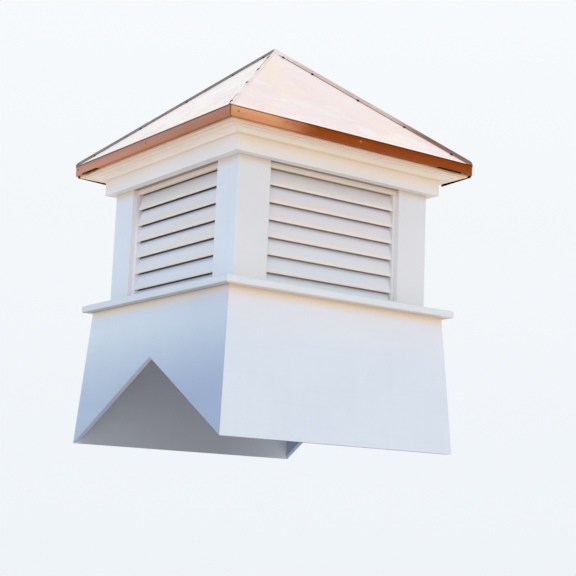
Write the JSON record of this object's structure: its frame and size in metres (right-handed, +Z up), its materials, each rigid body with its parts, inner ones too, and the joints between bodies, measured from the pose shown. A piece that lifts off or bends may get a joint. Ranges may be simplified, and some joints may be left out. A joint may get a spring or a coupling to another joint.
{
  "type": "barn cupola",
  "caption": "Square louvred roof cupola with a flared base notched for a ridge, corner posts, crown moulding and a copper hip roof.",
  "frame": {"origin": "centre of the square plan, at the level of the base's lowest edges", "axes": "+Z up; +X along the roof ridge that the cupola straddles, so the notched walls face +X and -X; -Y is the side that faces right in the picture"},
  "size_m": [1.172, 1.172, 1.6478],
  "materials": {
    "white_pvc": "satin",
    "white_vinyl": "satin",
    "framing_timber": "sawn",
    "roof_plywood": "sawn",
    "copper_sheet": "bright mill copper"
  },
  "bodies": {
    "root": {"front_base_wall": "white_pvc", "front_sill": "white_pvc", "front_louvre_frame": "white_pvc", "front_louvre_blades": "white_vinyl", "front_frieze": "white_pvc", "front_crown": "white_pvc", "front_roof_plate": "framing_timber", "front_roof_deck": "roof_plywood", "front_copper_panel": "copper_sheet", "right_base_wall": "white_pvc", "right_sill": "white_pvc", "right_louvre_frame": "white_pvc", "right_louvre_blades": "white_vinyl", "right_frieze": "white_pvc", "right_crown": "white_pvc", "right_roof_plate": "framing_timber", "right_roof_deck": "roof_plywood", "right_copper_panel": "copper_sheet", "back_base_wall": "white_pvc", "back_sill": "white_pvc", "back_louvre_frame": "white_pvc", "back_louvre_blades": "white_vinyl", "back_frieze": "white_pvc", "back_crown": "white_pvc", "back_roof_plate": "framing_timber", "back_roof_deck": "roof_plywood", "back_copper_panel": "copper_sheet", "left_base_wall": "white_pvc", "left_sill": "white_pvc", "left_louvre_frame": "white_pvc", "left_louvre_blades": "white_vinyl", "left_frieze": "white_pvc", "left_crown": "white_pvc", "left_roof_plate": "framing_timber", "left_roof_deck": "roof_plywood", "left_copper_panel": "copper_sheet", "front_left_post": "white_pvc", "front_right_post": "white_pvc", "back_right_post": "white_pvc", "back_left_post": "white_pvc", "back_left_hip": "copper_sheet", "back_right_hip": "copper_sheet", "front_left_hip": "copper_sheet", "front_right_hip": "copper_sheet"}
  },
  "joints": []
}
